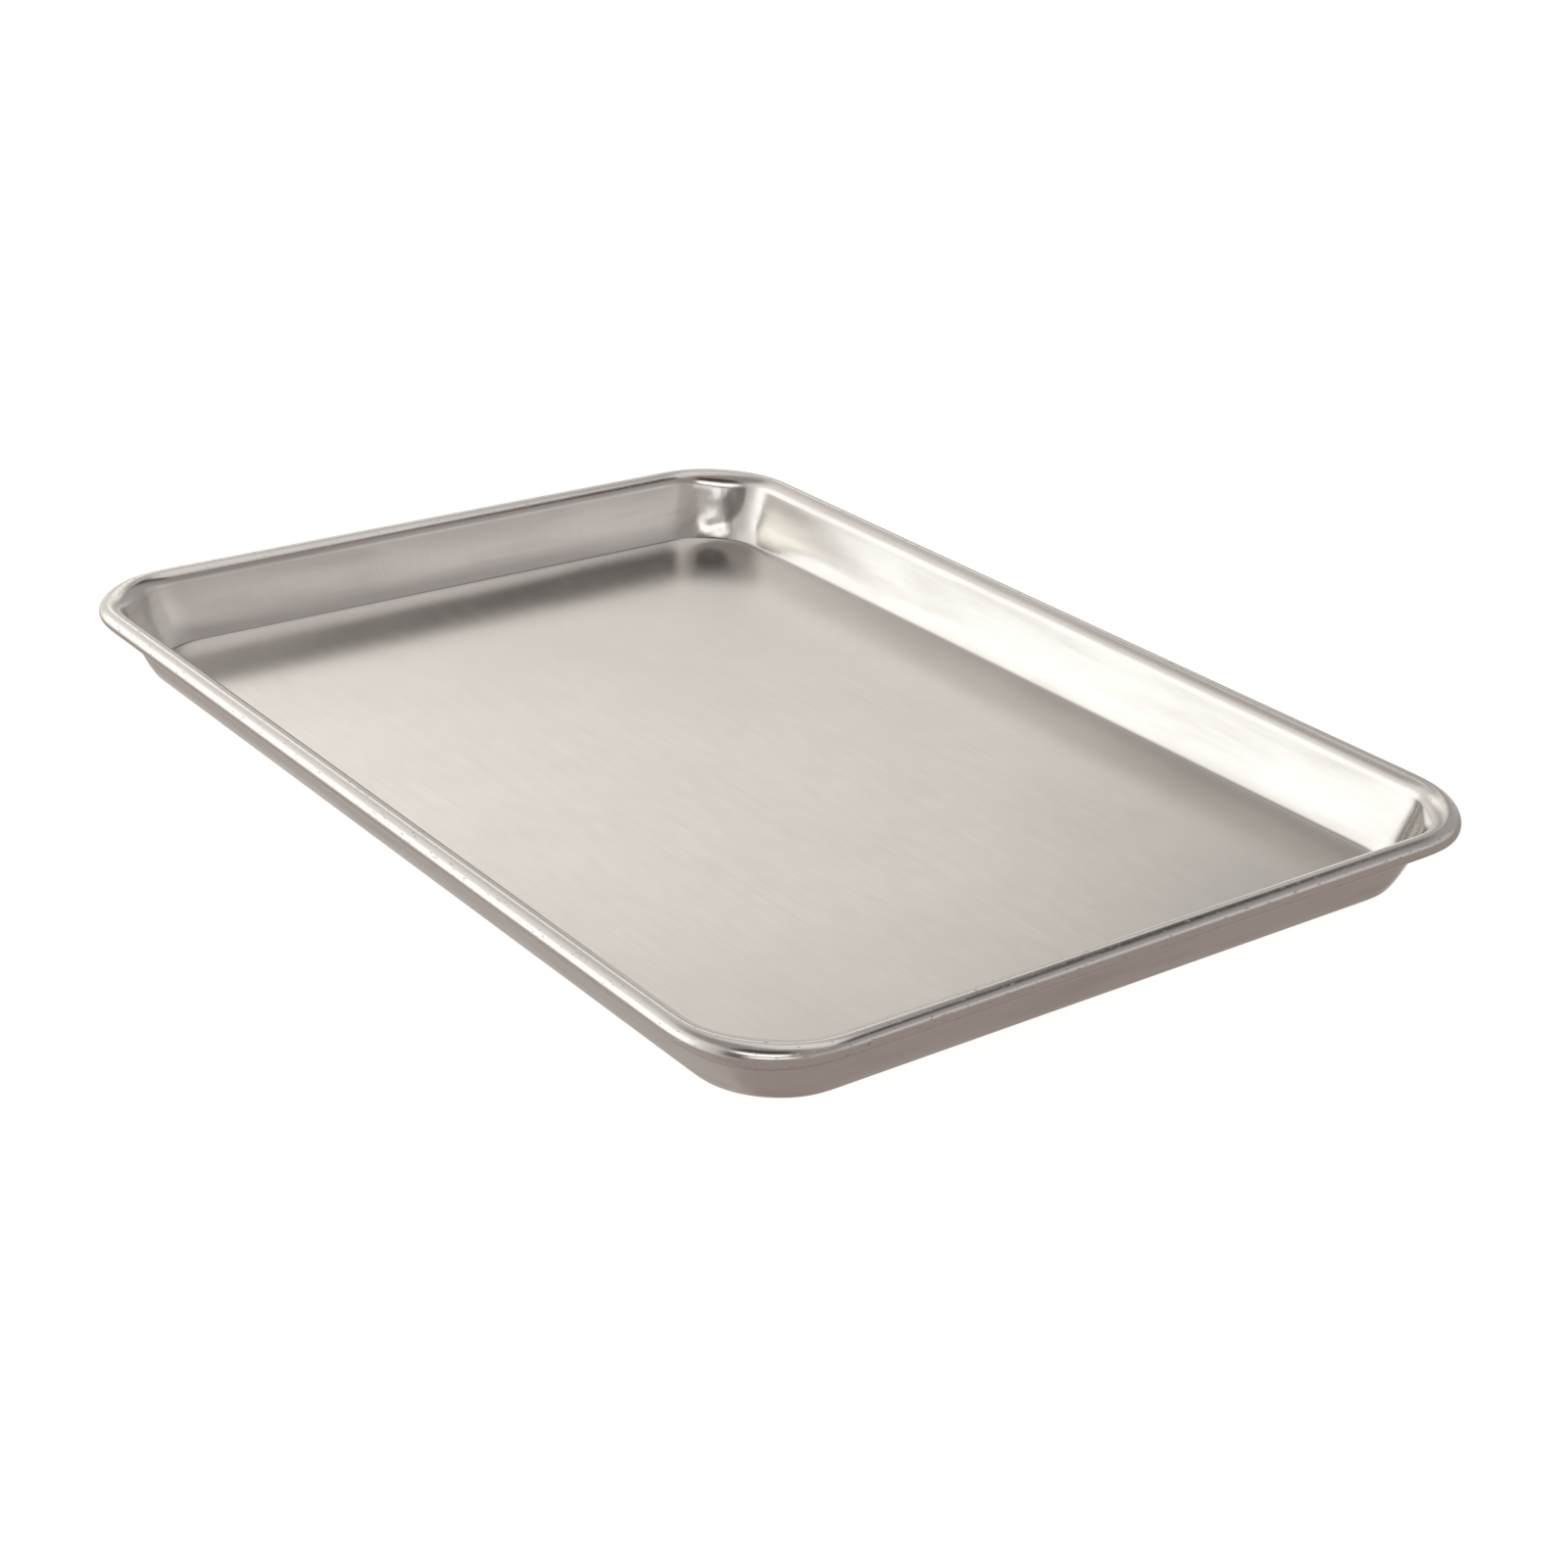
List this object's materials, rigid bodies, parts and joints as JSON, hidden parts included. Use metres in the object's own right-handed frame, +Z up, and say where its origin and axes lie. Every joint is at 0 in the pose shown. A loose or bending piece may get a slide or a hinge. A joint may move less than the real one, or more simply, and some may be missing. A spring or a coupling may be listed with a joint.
{
  "type": "jelly roll pan",
  "caption": "Shallow rectangular aluminium baking tray with flared walls, round corners and a rim curled over a steel wire.",
  "frame": {"origin": "middle of the pan's underside, on the plane that it rests on", "axes": "+X along the pan's length, +Y along its width, +Z up, out of the open top"},
  "size_m": [0.4, 0.286, 0.0254],
  "materials": {
    "aluminium_sheet": "bare rolled sheet, satin, with faint rolling lines",
    "galvanised_wire": "drawn, dull zinc coating"
  },
  "bodies": {
    "root": {"pan_body": "aluminium_sheet", "rim_wire": "galvanised_wire"}
  },
  "joints": []
}
